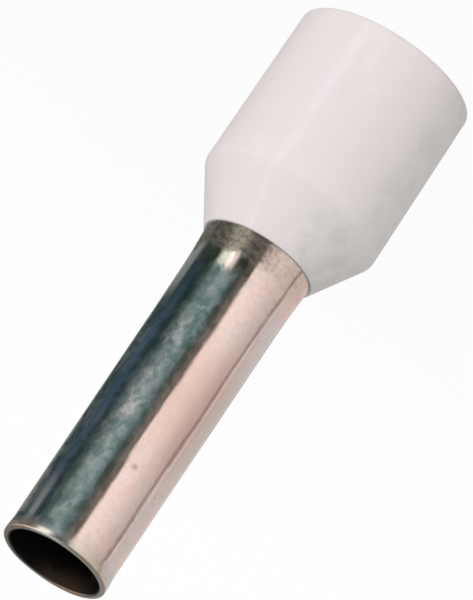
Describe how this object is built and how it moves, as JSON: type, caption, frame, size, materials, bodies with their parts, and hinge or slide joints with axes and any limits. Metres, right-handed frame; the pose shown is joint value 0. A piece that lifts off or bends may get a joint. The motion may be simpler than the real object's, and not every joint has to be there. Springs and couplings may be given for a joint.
{
  "type": "wire ferrule",
  "caption": "Insulated wire end ferrule: a thin tinned metal tube, flared where it enters a white plastic collar with a conical shoulder and an open mouth.",
  "frame": {"origin": "centre of the collar's mouth plane, on which the ferrule stands", "axes": "+Z along the shared axis, from the mouth towards the open tip of the metal barrel"},
  "size_m": [0.0052, 0.0052, 0.017],
  "materials": {
    "tinned_metal": "bright tin plating on copper, slightly stained and scuffed",
    "collar_plastic": "satin moulded plastic, white with a faint pink tint"
  },
  "bodies": {
    "root": {"metal_barrel": "tinned_metal", "insulating_collar": "collar_plastic"}
  },
  "joints": []
}
